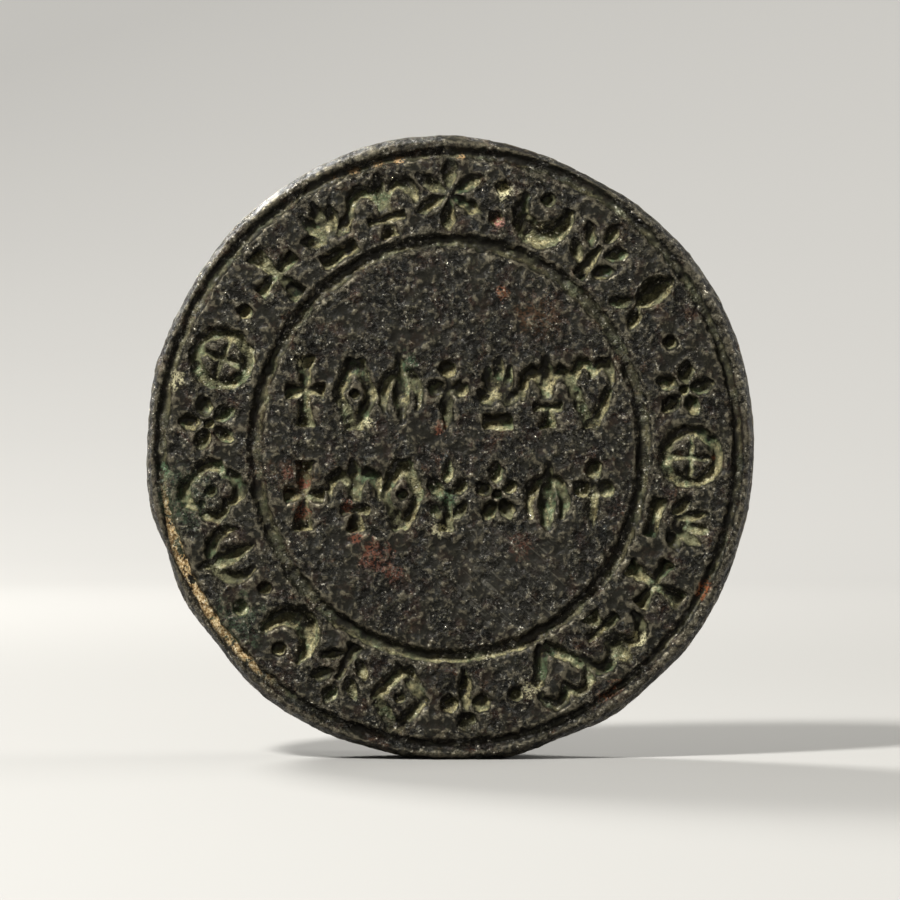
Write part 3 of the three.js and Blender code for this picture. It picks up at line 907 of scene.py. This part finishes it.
def backdrop():
    """A round floor whose edge curves up into a wall."""
    bpy.ops.object.select_all(action="DESELECT")
    bpy.ops.mesh.primitive_circle_add(
        vertices=96, radius=FLOOR_RADIUS, fill_type="TRIFAN", location=(0, 0, cad_low.z)
    )
    bowl = bpy.context.object
    bowl.name = "paper_sweep"
    bpy.ops.object.transform_apply(location=True, rotation=False, scale=False)
    bpy.ops.object.mode_set(mode="EDIT")
    bpy.ops.mesh.select_all(action="SELECT")
    bpy.ops.mesh.region_to_loop()
    reach, rise = FLOOR_RADIUS, 0.0
    for step in range(1, 12):
        turn = math.radians(min(step, 10) * 9)
        new_reach = FLOOR_RADIUS + CURVE_RADIUS * math.sin(turn)
        new_rise = CURVE_RADIUS * (1 - math.cos(turn)) + (WALL_HEIGHT if step > 10 else 0)
        bpy.ops.mesh.extrude_edges_move(TRANSFORM_OT_translate={"value": (0, 0, new_rise - rise)})
        grow = new_reach / reach
        bpy.ops.transform.resize(value=(grow, grow, 1), center_override=(0, 0, 0))
        reach, rise = new_reach, new_rise
    bpy.ops.mesh.select_all(action="SELECT")
    bpy.ops.mesh.normals_make_consistent(inside=True)
    bpy.ops.object.mode_set(mode="OBJECT")
    bpy.ops.object.shade_smooth()
    return bowl


def pale_paper():
    """Paper that looks pale but throws little light back on the object, with its own tone far out."""
    material = bpy.data.materials.new("pale paper")
    material.use_nodes = True
    tree = material.node_tree
    shader = tree.nodes["Principled BSDF"]
    shader.inputs["Roughness"].default_value = 0.9
    shader.inputs["Specular IOR Level"].default_value = 0.1
    shader.inputs["Emission Color"].default_value = colour(206, 204, 199)
    ray = add(tree, "LightPath").outputs
    seen = most_of(tree, ray["Is Camera Ray"], ray["Is Glossy Ray"], ray["Is Transmission Ray"])
    paper = layer(tree, seen, colour(80, 79, 77), colour(166, 164, 159))
    join(tree, paper, shader.inputs["Base Color"])
    place = add(tree, "TexCoord").outputs["Object"]
    level = add(tree, "VectorMath", {0: place, 1: (1, 1, 0)}, operation="MULTIPLY").outputs[0]
    away = add(tree, "VectorMath", {0: level}, operation="LENGTH").outputs["Value"]
    far = ramp(tree, away, 60 * MM, 320 * MM)
    join(tree, times(tree, seen, far, 0.6), shader.inputs["Emission Strength"])
    return material


sweep = backdrop()
sweep.data.materials.clear()
sweep.data.materials.append(pale_paper())

# %% [markdown]
# ## Light and camera
#
# The photograph is lit by one lamp low over the upper left of the face, so every cut has a
# black wall towards the lamp and a bright wall away from it. A soft lamp stands there, and a
# weaker one fills from the right. Two more light the rim's right side and the back, which the
# photograph doesn't show.

# %% Lamps
def soft_lamp(name, place, aim, size, power):
    """A square lamp that looks at a point and isn't itself seen."""
    bpy.ops.object.light_add(type="AREA", location=place)
    lamp = bpy.context.object
    lamp.name = name
    lamp.data.size = size
    lamp.data.energy = power
    lamp.rotation_euler = (Vector(aim) - Vector(place)).to_track_quat("-Z", "Y").to_euler()
    lamp.visible_camera = False
    return lamp


middle = (cad_low + cad_high) / 2
soft_lamp("key", (-130 * MM, -140 * MM, 205 * MM), middle, 40 * MM, 1.3)
soft_lamp("fill", (240 * MM, -220 * MM, 120 * MM), middle, 160 * MM, 0.06)
soft_lamp("side light", (250 * MM, 50 * MM, 110 * MM), middle, 120 * MM, 0.4)
soft_lamp("back light", (-150 * MM, 190 * MM, 190 * MM), middle, 90 * MM, 1.15)

world = bpy.data.worlds.new("studio")
bpy.context.scene.world = world
world.use_nodes = True
world.node_tree.nodes["Background"].inputs["Color"].default_value = (1, 1, 1, 1)
world.node_tree.nodes["Background"].inputs["Strength"].default_value = 0.12

# %% The photograph's camera
LENS = 150
SENSOR = 36

frame_width = IMAGE * pixel
distance = frame_width * LENS / SENSOR
bpy.ops.object.camera_add(rotation=(math.radians(90), 0, 0))
camera = bpy.context.object
camera.data.lens = LENS
camera.data.sensor_width = SENSOR
camera.location = Vector(on_face(IMAGE / 2, IMAGE / 2)) - Vector((0, distance, 0))
camera.data.clip_start = 1 * MM
camera.data.clip_end = 5
bpy.context.scene.camera = camera
bpy.context.scene.view_settings.view_transform = "Standard"

# %% The CAD box
print("CAD box", [round(v / MM, 2) for v in (*cad_low, *cad_high)])
